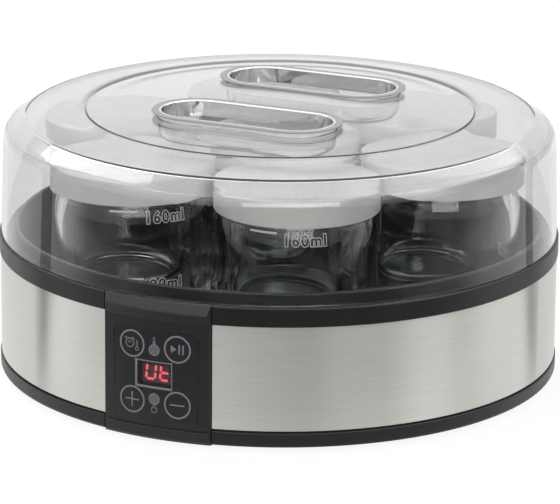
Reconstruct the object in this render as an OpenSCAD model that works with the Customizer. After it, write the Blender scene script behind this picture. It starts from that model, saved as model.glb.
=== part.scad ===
// Yogurt maker: a heated round base holding a tub of seven capped glass jars,
// a clear lift-off lid with two finger pockets, and a push-button panel.
// The origin is on the table under the centre, +Z is up and the panel faces -Y.
// Angles round the body run from -Y towards +X. Units are millimetres.

/* [Jars] */
// Radius of a jar's body; the whole machine is built round seven of these jars
jar_r = 34; // [32:0.5:38]
// Height of a jar without its cap
jar_h = 74; // [66:0.5:82]
// Gap between neighbouring jars
jar_gap = 10; // [8:0.5:12]
// Gap between the outer jars and the tub's wall
tub_gap = 4; // [3:0.5:6]
// Wall thickness of a jar
glass_t = 3.3; // [2.5:0.1:3.6]
// Thickness of a jar's floor
jar_floor_t = 4.5; // [3:0.5:6]
// How far a jar's neck lies inside its body
neck_inset = 1.8; // [1.6:0.1:2.4]
// How far a jar's cap reaches past its body
cap_overhang = 1.5; // [1:0.1:2]
// Height of a jar cap
cap_h = 11.2; // [10:0.1:12]
// Thickness of a cap's top and of its skirt
cap_t = 2.3; // [2:0.1:2.4]

/* [Tub] */
// Wall and floor thickness of the tub
tub_t = 2; // [1.8:0.1:2.4]
// Height of the tub's floor, where the jars stand
tub_floor = 29.5; // [28.5:0.5:32]
// Height of the tub's rim above the ledge that the lid stands on
rim_h = 4.8; // [3:0.1:6]
// Width of the ledge, from the tub's wall to the body's edge
ledge_w = 7; // [6.8:0.1:8]

/* [Base] */
// Height of the rubber feet, which is where the base starts
foot_h = 2; // [1.5:0.5:3]
// Radius of a rubber foot
foot_r = 7; // [5:0.5:9]
// Distance of the feet's centres from the body's edge
feet_inset = 25; // [22:1:30]
// Thickness of the base's floor
floor_t = 2.5; // [2:0.5:3]
// Thickness of the base's wall behind the steel band
wall_t = 2; // [1.6:0.1:2.2]
// Height of the base lip
lip_h = 6.6; // [6:0.1:8]
// Radius of the four screw columns
column_r = 4.5; // [4.4:0.1:5]
// Height of the columns that stand on the base's floor
column_h = 16; // [15:0.5:18]
// Distance of the columns' centres from the body's edge
column_inset = 19; // [18:0.5:21]
// Angles of the screw columns round the body
column_angles = [30, 150, 210, 330];
// Length of a vent slot in the floor
vent_l = 26; // [10:1:30]
// Width of a vent slot
vent_w = 3; // [2:0.5:4]
// Number of vent slots in each group
vent_count = 5; // [1:1:6]

/* [Steel band] */
// How far the band lies inside the body's edge
band_inset = 0.5; // [0.4:0.1:0.8]
// Thickness of the sheet
band_t = 0.6; // [0.5:0.1:0.8]
// Height of the band
band_h = 45.8; // [42:0.1:52]
// Height of the groove between the lip and the band
groove_h = 0.9; // [0.6:0.1:1.2]
// Width of the turned-in hem at both edges
hem_w = 1.2; // [1:0.1:1.4]
// Height of the black ring above the band
ring_h = 8.4; // [7:0.1:10]

/* [Lid] */
// How far the lid's foot lies inside the body's edge
lid_inset = 0.9; // [0.6:0.1:1.2]
// How far the upright wall leans in over its height
lid_draft = 1.4; // [1:0.1:2]
// Height of the wall's top above the jar caps
lid_headroom = 0.9; // [0.5:0.1:3]
// How far in and up from the wall's top the rounded edge lies
lid_edge_run = [2.2, 4.5];
// How far in and up from the wall's top the crease lies, where the dome starts
lid_crease_run = [9.5, 9.1];
// How far in and up from the wall's top the dome's step lies
lid_step_run = [36.2, 11.2];
// Height of the step ring
lid_step_h = 0.7; // [0.5:0.1:1]
// Height of the dome's centre above the wall's top
lid_rise = 15.5; // [15:0.1:17]
// Wall thickness of the lid
lid_t = 2; // [1.8:0.1:2.2]

/* [Finger pockets] */
// Distance of each pocket's centre line from the middle of the lid
pocket_y = 35; // [33:0.5:37]
// Half the distance between the centres of a pocket's round ends
pocket_half = 23.5; // [20:0.5:25]
// Room between a pocket's underside and the jar caps
pocket_clear = 1.7; // [1.5:0.1:3]
// Outer radius of a trim's round ends
trim_r = 20.5; // [20:0.1:21]
// Width of the trim's flange
trim_w = 3.5; // [3:0.1:4]
// Thickness of the trim's flange
trim_h = 0.5; // [0.4:0.1:0.8]
// Thickness of the trim's skirt
skirt_t = 1; // [0.8:0.1:1.2]
// Depth of the trim's skirt inside the pocket
skirt_h = 6.5; // [4:0.5:7]
// Radius between a pocket's wall and floor
pocket_fillet = 3.5; // [3:0.5:4]
// How far a pocket's wall leans in over its height
pocket_draft = 1; // [0.5:0.1:1.5]

/* [Control panel] */
// Half width of the panel frame
panel_half = 25.3; // [25:0.1:26]
// How far the panel's curved face stands out from the body's edge
face_rise = 0.9; // [0.7:0.1:1.2]
// How far the brow stands out from the face
brow_rise = 1.1; // [0.8:0.1:1.5]
// How far the panel's back wall lies inside the body's edge
panel_inset = 2.3; // [2.2:0.1:2.5]
// Half width of the glossy overlay
overlay_half = 19.7; // [19:0.1:20]
// Distance from the base lip's top to the overlay
overlay_low_gap = 0.7; // [0.5:0.1:1.5]
// Distance from the overlay to the band's upper edge
overlay_high_gap = 4; // [3.6:0.1:5]
// Corner radius of the overlay
overlay_corner = 3; // [2:0.5:4]
// Thickness of the overlay
overlay_t = 0.8; // [0.6:0.1:0.9]
// Radius of a button
key_r = 6.2; // [5.8:0.1:6.3]
// Distance of the buttons from the panel's centre line
key_x = 10.6; // [10.4:0.1:10.8]
// Distance of the lower buttons' centres from the overlay's lower edge
key_low_gap = 9.3; // [9:0.1:9.6]
// Distance of the upper buttons' centres from the overlay's upper edge
key_high_gap = 8; // [7.8:0.1:8.4]
// Travel of a button
key_travel = 0.5; // [0.3:0.1:0.6]
// Radius of the two indicator lenses
dot_r = 2.2; // [2:0.1:2.4]
// How far the indicators lie nearer the middle than the buttons' centres
dot_shift = 1.5; // [1:0.1:2]
// Half width of the display window
window_half = 8.1; // [7.9:0.1:8.3]
// Height of the display window
window_h = 11.4; // [11:0.1:11.6]
// Width and height of the digit module
digit_size = [14.8, 9.8];
// How far the control board lies behind the panel's face
control_depth = 12.9; // [12.5:0.1:13.5]
// Room for the control board in the tub's front pocket
pocket_room = 8; // [6:0.5:9]

/* [Inside] */
// How far the aluminium plate lies inside the tub's wall
plate_inset = 24; // [20:1:30]
// Thickness of the plate
plate_t = 1.5; // [1:0.5:2]
// How far the heating element's ring lies inside the plate's edge
element_inset = 22; // [18:1:26]
// Radius of the sleeved heating element
element_r = 1.6; // [1.2:0.1:1.8]
// Width and depth of the power board
board_size = [80, 50];
// How far the power board's centre lies inside the heating element's ring
board_inset = 8; // [6:1:10]
// Thickness of both circuit boards
pcb_t = 1.6; // [1:0.2:1.6]
// Height of the posts under the power board
post_h = 5.5; // [5:0.5:6]

/* [Cord inlet] */
// Radius of the hole for a power cord
cord_hole_r = 3.2; // [2.5:0.1:3.5]
// Height of the cord inlet's centre above the band's lower edge
gland_rise = 12; // [11:0.1:13]
// Radius of the gland's outer flange
gland_flange_r = 8; // [7.6:0.1:8.4]
// How far the gland stands out from the body's edge
gland_proud = 2; // [1.8:0.1:3]
// Length of the gland
gland_l = 11; // [9:0.5:11]

/* [Hidden] */
$fn = 192;
cut = 1;                    // how far a cutting shape runs past the face it cuts
seat = 0.05;                // clearance of a piece pressed or glued into its place
slip = 0.1;                 // clearance of a piece that slides or lifts out
jar_names = [1, 2, 3, 4, 5, 6, 7];
jar_ring_count = len(jar_names) - 1;  // the last jar stands in the middle

// radii, from the jars outwards
jar_pitch_r = 2 * jar_r + jar_gap;
neck_r = jar_r - neck_inset;
cap_r = jar_r + cap_overhang;
tub_r = jar_pitch_r + jar_r + tub_gap;
tub_outer_r = tub_r + tub_t;
ring_r = tub_outer_r + ledge_w;       // edge of the base lip and of the upper ring
band_r = ring_r - band_inset;
hem_r = band_r - hem_w;               // inner radius of the band's hems
wall_r = band_r - band_t - slip;      // the base's wall behind the band
wall_inner_r = wall_r - wall_t;
feet_pitch_r = ring_r - feet_inset;
column_pitch_r = ring_r - column_inset;
plate_r = tub_r - plate_inset;
element_pitch_r = plate_r - element_inset;
board_y = element_pitch_r - board_inset;
lid_foot_r = ring_r - lid_inset;
lid_wall_r = lid_foot_r - lid_draft;
opening_r = trim_r - trim_w + seat;

// heights, from the floor up
floor_z = foot_h + floor_t;           // inside of the base's floor
lip_top = foot_h + lip_h;
column_top = foot_h + column_h;
band_bottom = lip_top + groove_h;
band_top = band_bottom + band_h;
wall_top = band_top - band_t - slip;
ledge_z = band_top + ring_h;
tub_under = tub_floor - tub_t;
tub_rim = ledge_z + rim_h;
plate_z = tub_under - plate_t;
element_z = plate_z - element_r - seat;
board_z = floor_z + post_h;
board_top = board_z + pcb_t;
jar_z = tub_floor + 2 * slip;
jar_top = jar_z + jar_h;
cap_under = jar_top + slip;           // inside of a cap's top
cap_top = cap_under + cap_t;
cap_z = cap_top - cap_h;
lid_z = ledge_z + slip;               // underside of the lid's wall
lid_wall_top = cap_top + lid_headroom;
lid_top = lid_wall_top + lid_rise;
pocket_floor = cap_top + pocket_clear + lid_t;
collar_z = lid_top + slip;            // seat of the chrome trims
gland_z = band_bottom + gland_rise;

// control panel
face_r = ring_r + face_rise;
brow_r = face_r + brow_rise;
panel_back_r = ring_r - panel_inset;
panel_half_angle = asin(panel_half / face_r);
overlay_back_r = face_r - overlay_t;
overlay_bottom = lip_top + overlay_low_gap;
overlay_top = band_top - overlay_high_gap;
key_low = overlay_bottom + key_low_gap;
key_high = overlay_top - key_high_gap;
dot_low = key_low + dot_shift;
dot_high = key_high - dot_shift;
window_z = (key_low + key_high) / 2;
key_flange_r = key_r + 1;
key_flange_t = 1.2;
spot_y = face_r - 3;                  // seat of a button's flange behind the panel
control_y = face_r - control_depth;   // front face of the upright control board
front_pocket_y = control_y - pocket_room;
display_face = face_r - 4;            // front of the digit module
switch_h = 4;
switch_face = control_y + switch_h;
stem_t = 1.8;                         // depth of the hole in a switch's front
control_half = panel_half - 2.3;      // half width of the control board
front_pocket_half = control_half + 2;
control_bottom = lip_top;
control_top = overlay_top + 2.7;
panel_boss = [control_half - 3, control_bottom + 3.4, control_top - 4];
boss_r = 2.5;
lug_x = control_half - 6;             // panel lugs, screwed down through the floor
lug_y = control_y - 1.5;
lug_half = 3.5;
lug_h = 3.6;

// screws
screw_r = 1.5;
small_screw_r = 1.2;
fine_screw_r = 0.9;
fine_screw_l = 8;
screw_seat = 8;                       // depth of a housing screw's head in its column
screw_grip = 15;                      // length of a housing screw under its head
gland_r = 6;                          // shank of the cord gland

// ---- shapes that repeat ----

// Points of an arc about centre c, from angle a0 to a1
function arc(c, r, a0, a1, steps = 8) =
    [for (i = [0 : steps]) let (a = a0 + (a1 - a0) * i / steps)
        [c[0] + r * cos(a), c[1] + r * sin(a)]];

// Places its child at an angle round the body, at a distance from the centre
module around(angle, distance)
    rotate([0, 0, angle]) translate([0, -distance, 0]) children();

// Turns a child drawn in x and z so that it is extruded from y = -front back to -back
module through_panel(front, back)
    translate([0, -back, 0]) rotate([90, 0, 0]) linear_extrude(front - back) children();

// A wedge of the body on the panel's side, open to the centre
module panel_wedge(half_angle, inner_r, low, high)
    difference() {
        translate([0, 0, low])
            linear_extrude(high - low)
                polygon([[0, 0],
                    [-2 * ring_r * tan(half_angle), -2 * ring_r],
                    [2 * ring_r * tan(half_angle), -2 * ring_r]]);
        translate([0, 0, low - cut]) cylinder(r = inner_r, h = high - low + 2 * cut);
    }

module rounded_rectangle(half_w, low, high, corner)
    union() {
        translate([-half_w, low + corner]) square([2 * half_w, high - low - 2 * corner]);
        translate([-half_w + corner, low]) square([2 * (half_w - corner), high - low]);
        for (x = [-1, 1], z = [low + corner, high - corner])
            translate([x * (half_w - corner), z]) circle(r = corner);
    }

// Sweeps a profile of (distance from the spine, z) round a straight spine along x
module racetrack(half_length, profile) {
    for (side = [-1, 1])
        translate([side * half_length, 0, 0])
            rotate([0, 0, side > 0 ? -90 : 90])
                rotate_extrude(angle = 180) polygon(profile);
    for (side = [0, 1])
        mirror([0, side, 0])
            translate([-half_length, 0, 0])
                rotate([90, 0, 90]) linear_extrude(2 * half_length) polygon(profile);
}

// A wire along straight runs with slightly fuller ball corners; its two ends are cut square
module wire(points, r) {
    for (i = [0 : len(points) - 2]) {
        step = points[i + 1] - points[i];
        translate(points[i])
            rotate([0, acos(step[2] / norm(step)), atan2(step[1], step[0])])
                cylinder(r = r, h = norm(step));
    }
    for (i = [1 : 1 : len(points) - 2]) translate(points[i]) sphere(r = 1.1 * r);
}

// A pan-head screw pointing up, with its head's top face at z = 0
module screw_up(r, head_r, head_h, length) {
    translate([0, 0, -head_h]) cylinder(r = head_r, h = head_h);
    translate([0, 0, -seat]) cylinder(r = r, h = length + seat);
}

// ---- base ----

lip_round = 1.8;
lip_edge = 0.5;
lip_profile = concat(
    [[0, foot_h], [ring_r - lip_round, foot_h]],
    arc([ring_r - lip_round, foot_h + lip_round], lip_round, -90, 0),
    arc([ring_r - lip_edge, lip_top - lip_edge], lip_edge, 0, 90, 3),
    [[band_r - band_t, lip_top], [band_r - band_t, band_bottom],
     [hem_r - slip, band_bottom], [hem_r - slip, band_bottom + band_t + slip],
     [wall_r, band_bottom + band_t + slip], [wall_r, wall_top],
     [wall_inner_r, wall_top], [wall_inner_r, floor_z], [0, floor_z]]);

// The hole for the gland through the band and the wall behind it
module gland_hole()
    translate([0, band_r + cut, gland_z])
        rotate([90, 0, 0]) cylinder(r = gland_r + slip, h = band_r - wall_inner_r + 2 * cut);

post_r = 3.2;
vent_x = 52;       // middle of each group of vents
vent_y = -30;
vent_pitch = 9;
// The base's floor with its lip and wall, the columns and posts on it, and its vents
module bottom_housing()
    color("#2b2c2e") difference() {
        union() {
            rotate_extrude() polygon(lip_profile);
            for (a = column_angles)
                around(a, column_pitch_r)
                    translate([0, 0, foot_h]) cylinder(r = column_r, h = column_h);
            for (p = board_holes)
                translate([p[0], p[1], floor_z - seat]) cylinder(r = post_r, h = post_h + seat);
        }
        // room for the panel frame, its lugs and the control board
        panel_wedge(panel_half_angle + slip, panel_back_r - slip, 0, band_top);
        translate([-front_pocket_half, -ring_r, floor_z])
            cube([2 * front_pocket_half, ring_r - control_y + 6, band_top]);
        gland_hole();
        for (a = column_angles)
            around(a, column_pitch_r) {
                translate([0, 0, -cut]) cylinder(r = 3.8, h = foot_h + screw_seat + cut);
                cylinder(r = screw_r + 3 * slip, h = column_top + cut);
            }
        for (a = [45 : 90 : 315])
            around(a, feet_pitch_r)
                translate([0, 0, foot_h - cut])
                    cylinder(r = foot_pin_r + seat, h = foot_pin_l + 2 * slip + cut);
        for (x = [-lug_x, lug_x])
            translate([x, -lug_y, 0]) {
                cylinder(r = 2.9, h = foot_h + panel_screw_seat);
                cylinder(r = small_screw_r + 2 * slip, h = floor_z + cut);
            }
        for (p = board_holes)
            translate([p[0], p[1], floor_z]) cylinder(r = small_screw_r + seat, h = post_h + cut);
        for (side = [-1, 1], i = [0 : vent_count - 1])
            translate([side * vent_x - vent_l / 2,
                    vent_y + (i - (vent_count - 1) / 2) * vent_pitch - vent_w / 2, 0])
                cube([vent_l, vent_w, floor_z + cut]);
    }

foot_pin_r = 2.5;
foot_pin_l = 1.4;
foot_round = 0.6;
module feet()
    color("#1c1c1c")
        for (a = [45 : 90 : 315])
            around(a, feet_pitch_r) {
                rotate_extrude()
                    polygon(concat([[0, 0]],
                        arc([foot_r - foot_round, foot_round], foot_round, -90, 0, 4),
                        [[foot_r, foot_h], [0, foot_h]]));
                translate([0, 0, foot_h - seat]) cylinder(r = foot_pin_r, h = foot_pin_l + seat);
            }

module housing_screws()
    color("#8d9094")
        for (a = column_angles)
            around(a, column_pitch_r)
                translate([0, 0, foot_h + screw_seat]) screw_up(screw_r, 3.2, 2, screw_grip);

// ---- sides ----

module steel_band()
    color("#c6c3bc") difference() {
        rotate_extrude()
            polygon([[hem_r, band_bottom], [band_r, band_bottom], [band_r, band_top],
                [hem_r, band_top], [hem_r, band_top - band_t],
                [band_r - band_t, band_top - band_t],
                [band_r - band_t, band_bottom + band_t], [hem_r, band_bottom + band_t]]);
        panel_wedge(panel_half_angle + slip, 0.5 * band_r, band_bottom - cut, band_top + cut);
        gland_hole();
    }

flange_t = 1.8;   // the tub's flange, which the upper ring hooks under
ring_step = 3.4;  // height of the upper ring's inner step
module upper_ring()
    color("#242526") difference() {
        rotate_extrude()
            polygon(concat(
                [[wall_inner_r, band_top]],
                arc([ring_r - 0.4, band_top + 0.4], 0.4, -90, 0, 3),
                arc([ring_r - 0.8, ledge_z - 0.8], 0.8, 0, 90, 4),
                [[wall_inner_r, ledge_z], [wall_inner_r, ledge_z - flange_t - seat],
                 [tub_outer_r + 2 * slip, ledge_z - flange_t - seat],
                 [tub_outer_r + 2 * slip, ledge_z - flange_t - ring_step],
                 [wall_inner_r, ledge_z - flange_t - ring_step]]));
        panel_wedge(panel_half_angle + slip, panel_back_r - slip, band_top - cut, ledge_z + cut);
    }

gland_flange_t = 2.4;
gland_nut = [7.4, 1.9];   // radius and thickness of the nut inside the wall
nut_start = ring_r + gland_proud - wall_inner_r + 3 * slip;
// Grommet at the back for a power cord
module cord_gland()
    color("#1f2021")
        translate([0, ring_r + gland_proud, gland_z]) rotate([90, 0, 0]) difference() {
            rotate_extrude()
                polygon(concat(
                    arc([gland_flange_r - 1, 1], 1, -90, 0, 5),
                    [[gland_flange_r, gland_flange_t], [gland_r, gland_flange_t],
                     [gland_r, nut_start], [gland_nut[0], nut_start],
                     [gland_nut[0], nut_start + gland_nut[1]], [gland_r, nut_start + gland_nut[1]],
                     [gland_r, gland_l], [0, gland_l], [0, 0]]));
            translate([0, 0, -cut]) cylinder(r = cord_hole_r, h = gland_l + 2 * cut);
        }

// ---- tub and heater ----

module tub_front_pocket(extra, low, high)
    intersection() {
        translate([-front_pocket_half - extra, -ring_r, low])
            cube([2 * (front_pocket_half + extra), ring_r - front_pocket_y + extra, high - low]);
        translate([0, 0, low]) cylinder(r = tub_outer_r, h = high - low);
    }

tub_round = 3;
column_hole = 7.6;   // depth of a screw's hole in the tub's columns
module jar_tub()
    color("#1d1e1f") difference() {
        union() {
            rotate_extrude()
                polygon(concat(
                    [[0, tub_under], [tub_r - tub_round, tub_under]],
                    arc([tub_r - tub_round, tub_floor + tub_round], tub_round + tub_t, -90, 0),
                    [[tub_outer_r, ledge_z - flange_t], [wall_inner_r - slip, ledge_z - flange_t],
                     [wall_inner_r - slip, ledge_z], [tub_outer_r, ledge_z]],
                    arc([tub_r + tub_t / 2, tub_rim - tub_t / 2], tub_t / 2, 0, 180),
                    arc([tub_r - tub_round, tub_floor + tub_round], tub_round, 0, -90),
                    [[0, tub_floor]]));
            tub_front_pocket(tub_t, tub_under, ledge_z);
            for (a = column_angles)
                around(a, column_pitch_r)
                    translate([0, 0, column_top + seat])
                        cylinder(r = column_r, h = tub_under - column_top);
        }
        // the pocket is open at the front and below
        translate([0, 0, -cut]) tub_front_pocket(0, tub_under, ledge_z - tub_t + cut);
        for (a = column_angles)
            around(a, column_pitch_r)
                translate([0, 0, column_top]) cylinder(r = screw_r + seat, h = column_hole);
    }

module heat_plate()
    color("#b9bcbf")
        translate([0, 0, plate_z]) cylinder(r = plate_r, h = plate_t);

// The sleeved wire runs almost the whole way round; its ends are at the back
module heating_element()
    color("#a34a3a")
        translate([0, 0, element_z]) rotate([0, 0, 90 + end_angle])
            rotate_extrude(angle = 360 - 2 * end_angle) translate([element_pitch_r, 0]) circle(r = element_r);

clip_size = [6, 8];   // along the element and across it
clip_floor = 0.9;     // thickness under the element
// U-shaped clips, open towards the plate
module element_clips()
    color("#aeb2b6") difference() {
        for (a = [30 : 60 : 330])
            around(a, element_pitch_r)
                translate([-clip_size[0] / 2, -clip_size[1] / 2, element_z - element_r - clip_floor])
                    cube([clip_size[0], clip_size[1], plate_z - element_z + element_r + clip_floor]);
        translate([0, 0, element_z])
            rotate_extrude() translate([element_pitch_r, 0]) {
                circle(r = element_r + seat);
                translate([-element_r - seat, 0]) square([2 * (element_r + seat), 2 * element_r]);
            }
    }

sensor_size = [3.5, 5];   // radius and height of the temperature sensor
module temperature_sensor()
    color("#d8d8d4") {
        translate([0, 0, plate_z - 1.2]) cylinder(r = 6, h = 1.2);
        translate([0, 0, plate_z - sensor_size[1]]) cylinder(r = sensor_size[0], h = sensor_size[1] - 1);
    }

fuse_size = [2, 12];      // radius and length of the thermal fuse
fuse_place = [28, 8];
module thermal_fuse()
    color("#c9ccd0")
        translate([fuse_place[0], fuse_place[1], plate_z - fuse_size[0] - seat])
            rotate([90, 0, 0]) cylinder(r = fuse_size[0], h = fuse_size[1]);

end_angle = 5;   // half angle of the gap between the element's ends
end_run = 3;     // each lead leaves its end square, then drops to the board
lead_r = 0.9;
module heater_leads()
    color("#b6b0a4")
        for (side = [-1, 1])
            rotate([0, 0, -side * end_angle])
                wire([[0, element_pitch_r, element_z],
                    [-side * end_run, element_pitch_r, element_z],
                    [-side * end_run, element_pitch_r, board_top]], lead_r);

lead_x = 12;     // where the sensor's lead meets the board
lead_rise = 4;
module sensor_lead()
    color("#3b3f45")
        wire([[0, 0, plate_z - sensor_size[1]], [0, 0, board_top + lead_rise],
            [lead_x, board_y - 20, board_top + lead_rise], [lead_x, board_y - 20, board_top]], lead_r);

// ---- power board ----

hole_inset = 4.5;   // distance of the board's screws from its edges
board_holes = [for (x = [-1, 1], y = [-1, 1])
    [x * (board_size[0] / 2 - hole_inset), board_y + y * (board_size[1] / 2 - hole_inset)]];

module power_board()
    color("#2f6b46") difference() {
        translate([-board_size[0] / 2, board_y - board_size[1] / 2, board_z])
            cube([board_size[0], board_size[1], pcb_t]);
        for (p = board_holes)
            translate([p[0], p[1], board_z - cut])
                cylinder(r = small_screw_r + 2 * slip, h = pcb_t + 2 * cut);
    }

module board_screws()
    color("#8d9094")
        for (p = board_holes)
            translate([p[0], p[1], board_top]) mirror([0, 0, 1]) screw_up(small_screw_r, 2.4, 1.6, 5.5);

transformer_size = [20, 18, 7];
core_edge = 3;    // the core stands back from the transformer's edges
module transformer()
    color("#39424e")
        translate([-30, board_y - 11, board_top]) {
            cube(transformer_size);
            translate([core_edge, core_edge, transformer_size[2] - seat])
                cube([transformer_size[0] - 2 * core_edge, transformer_size[1] - 2 * core_edge, 1.6]);
        }

module relay()
    color("#26405e")
        translate([18, board_y - 8, board_top]) cube([12, 16, 8.5]);

capacitor_r = 4;
capacitor_l = 12;
module capacitor()
    color("#24282e")
        translate([-capacitor_l / 2, board_y - 10, board_top + capacitor_r])
            rotate([0, 90, 0]) cylinder(r = capacitor_r, h = capacitor_l);

way = 8;          // width, depth and height of one way of the terminal block
// Two ways, each with a wire hole at the back and a screw hole on top
module terminal_block()
    color("#3f7d5a")
        translate([-way, board_y + board_size[1] / 2 - way - 1, board_top]) difference() {
            cube([2 * way, way, way]);
            for (x = [way / 2, 3 * way / 2]) {
                translate([x, way + cut, 3.5]) rotate([90, 0, 0]) cylinder(r = 1.6, h = 6);
                translate([x, way / 2, 5]) cylinder(r = 1.5, h = way - 5 + cut);
            }
        }

// Flat cable from the power board, along the floor and up to the control board
cable_t = 0.8;
cable_w = 12;
cable_low = floor_z + 3.5;                    // where it lies over the floor
cable_high = control_bottom + 6.4;            // where it leaves the control board
plug_y = board_y - board_size[1] / 2 + 3;     // front of its plug on the power board
plug_size = [15, 4, 5];
cable_path = [[-control_y + pcb_t, cable_high], [-control_y + 8, cable_high],
    [-control_y + 11, cable_low], [plug_y - 10, cable_low], [plug_y - 7, board_top + 2],
    [plug_y, board_top + 2]];
module ribbon_cable()
    color("#7c8188") {
        rotate([90, 0, 90]) translate([0, 0, -cable_w / 2]) linear_extrude(cable_w)
            polygon(concat(cable_path,
                [for (i = [len(cable_path) - 1 : -1 : 0]) cable_path[i] + [0, cable_t]]));
        translate([-plug_size[0] / 2, plug_y, board_top]) cube(plug_size);
    }

// ---- control panel ----

// Places a child, extruded along the buttons' line of travel, at a button's centre
module at_key(x, z, front, back)
    through_panel(front, back) translate([x, z]) children();

panel_side_r = face_r - 1.4;  // where the frame's sides turn in towards its face
panel_tip_r = face_r + 5;
panel_tip_angle = panel_half_angle - 2;
panel_plan = [[0, 0],
    panel_side_r * [-sin(panel_half_angle), -cos(panel_half_angle)],
    panel_tip_r * [-sin(panel_tip_angle), -cos(panel_tip_angle)],
    panel_tip_r * [sin(panel_tip_angle), -cos(panel_tip_angle)],
    panel_side_r * [sin(panel_half_angle), -cos(panel_half_angle)]];
brow_low = band_top - 0.3;    // where the brow leaves the face
brow_z = band_top + 4;        // its foremost edge
panel_profile = [[panel_back_r, foot_h], [face_r - 0.8, foot_h], [face_r + 0.1, foot_h + 1.2],
    [face_r + 0.1, lip_top - 1.4], [face_r - 0.7, lip_top - 0.8], [face_r - 0.7, lip_top - 0.2],
    [face_r, lip_top], [face_r, brow_low], [brow_r, brow_z], [brow_r - 0.2, brow_z + 0.7],
    [face_r - 0.8, ledge_z - 0.4], [face_r - 1.4, ledge_z], [panel_back_r, ledge_z]];

module panel_openings(grow) {
    for (x = [-key_x, key_x], z = [key_low, key_high])
        translate([x, z]) circle(r = key_r + grow);
    for (z = [dot_low, dot_high]) translate([0, z]) circle(r = dot_r + seat);
}

module panel_frame()
    color("#303133") difference() {
        union() {
            intersection() {
                rotate_extrude() polygon(panel_profile);
                translate([0, 0, foot_h - cut]) linear_extrude(ledge_z) polygon(panel_plan);
            }
            for (x = [-1, 1], z = [panel_boss[1], panel_boss[2]])
                through_panel(panel_back_r - 0.2, control_y)
                    translate([x * panel_boss[0], z]) circle(r = boss_r);
            for (x = [-lug_x, lug_x])
                translate([x - lug_half, -panel_back_r - 0.3, floor_z])
                    cube([2 * lug_half, panel_back_r + 0.3 - lug_y + lug_half, lug_h]);
        }
        // seat of the overlay
        difference() {
            through_panel(brow_r + cut, control_y)
                rounded_rectangle(overlay_half + seat, overlay_bottom - seat, overlay_top + seat,
                    overlay_corner);
            cylinder(r = overlay_back_r - seat, h = ledge_z);
        }
        through_panel(brow_r, control_y) panel_openings(slip);
        through_panel(spot_y, control_y)
            for (x = [-key_x, key_x], z = [key_low, key_high])
                translate([x, z]) circle(r = key_flange_r + slip);
        through_panel(brow_r, control_y)
            rounded_rectangle(window_half - overlay_t, window_z - window_h / 2 + overlay_t,
                window_z + window_h / 2 - overlay_t, 0.5);
        through_panel(control_y + fine_screw_l, control_y - cut)
            for (x = [-1, 1], z = [panel_boss[1], panel_boss[2]])
                translate([x * panel_boss[0], z]) circle(r = fine_screw_r + seat);
        for (x = [-lug_x, lug_x])
            translate([x, -lug_y, floor_z - cut]) cylinder(r = small_screw_r + seat, h = lug_h);
    }

panel_screw_seat = 1.2;
module panel_screws()
    color("#8d9094")
        for (x = [-lug_x, lug_x])
            translate([x, -lug_y, foot_h + panel_screw_seat]) screw_up(small_screw_r, 2.5, 1, lug_h);

// A piece of sheet that follows the panel's face
module face_sheet()
    intersection() {
        difference() {
            translate([0, 0, foot_h]) cylinder(r = face_r, h = ledge_z);
            translate([0, 0, foot_h - cut]) cylinder(r = overlay_back_r, h = ledge_z + 2 * cut);
        }
        children();
    }

window_corner = 0.8;
module panel_overlay()
    color("#26272a") face_sheet()
        through_panel(brow_r, control_y) difference() {
            rounded_rectangle(overlay_half, overlay_bottom, overlay_top, overlay_corner);
            panel_openings(slip);
            rounded_rectangle(window_half + seat, window_z - window_h / 2 - seat,
                window_z + window_h / 2 + seat, window_corner);
        }

module display_window()
    color("#3a2a2c") face_sheet()
        through_panel(brow_r, control_y)
            rounded_rectangle(window_half, window_z - window_h / 2, window_z + window_h / 2,
                window_corner);

module display_module()
    color("#ff3b3b")
        through_panel(display_face, control_y)
            translate([0, window_z]) square(digit_size, center = true);

module control_board()
    color("#2f6b46")
        through_panel(control_y, control_y - pcb_t) difference() {
            translate([-control_half, control_bottom])
                square([2 * control_half, control_top - control_bottom]);
            for (x = [-1, 1], z = [panel_boss[1], panel_boss[2]])
                translate([x * panel_boss[0], z]) circle(r = fine_screw_r + slip);
        }

module control_board_screws()
    color("#8d9094")
        for (x = [-1, 1], z = [panel_boss[1], panel_boss[2]])
            translate([x * panel_boss[0], -control_y + pcb_t, z])
                rotate([90, 0, 0]) screw_up(fine_screw_r, 1.9, 1.2, fine_screw_l);

plunger_r = 1.5;
module tact_switches()
    color("#101112")
        for (x = [-key_x, key_x], z = [key_low, key_high])
            difference() {
                at_key(x, z, switch_face, control_y) square(6, center = true);
                at_key(x, z, switch_face + cut, switch_face - stem_t) circle(r = plunger_r + 2 * slip);
            }

module indicator_leds()
    color("#e8e4d8")
        for (z = [dot_low, dot_high])
            at_key(0, z, control_y + 1.2, control_y) square([3.2, 2.4], center = true);

module indicator_lens(z)
    color("#6a6d72") {
        intersection() {
            translate([0, 0, z - 2 * dot_r]) cylinder(r = face_r, h = 4 * dot_r);
            at_key(0, z, brow_r, control_y + 1.5) circle(r = dot_r);
        }
        at_key(0, z, panel_back_r - 2 * seat, panel_back_r - 1.2) circle(r = dot_r + 0.7);
    }
module indicator_lens_upper() indicator_lens(dot_high);
module indicator_lens_lower() indicator_lens(dot_low);

// A button: its curved front, the flange that holds it in and its plunger
module button(x, z)
    color("#2a2b2e") {
        intersection() {
            translate([0, 0, z - 2 * key_r]) cylinder(r = face_r, h = 4 * key_r);
            at_key(x, z, brow_r, spot_y - seat - key_flange_t) circle(r = key_r);
        }
        at_key(x, z, spot_y - seat, spot_y - seat - key_flange_t) circle(r = key_flange_r);
        at_key(x, z, spot_y - key_flange_t, switch_face - stem_t + key_travel + 0.6)
            circle(r = plunger_r);
    }
module button_timer() button(-key_x, key_high);
module button_start() button(key_x, key_high);
module button_plus() button(-key_x, key_low);
module button_minus() button(key_x, key_low);

// ---- lid ----

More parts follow.
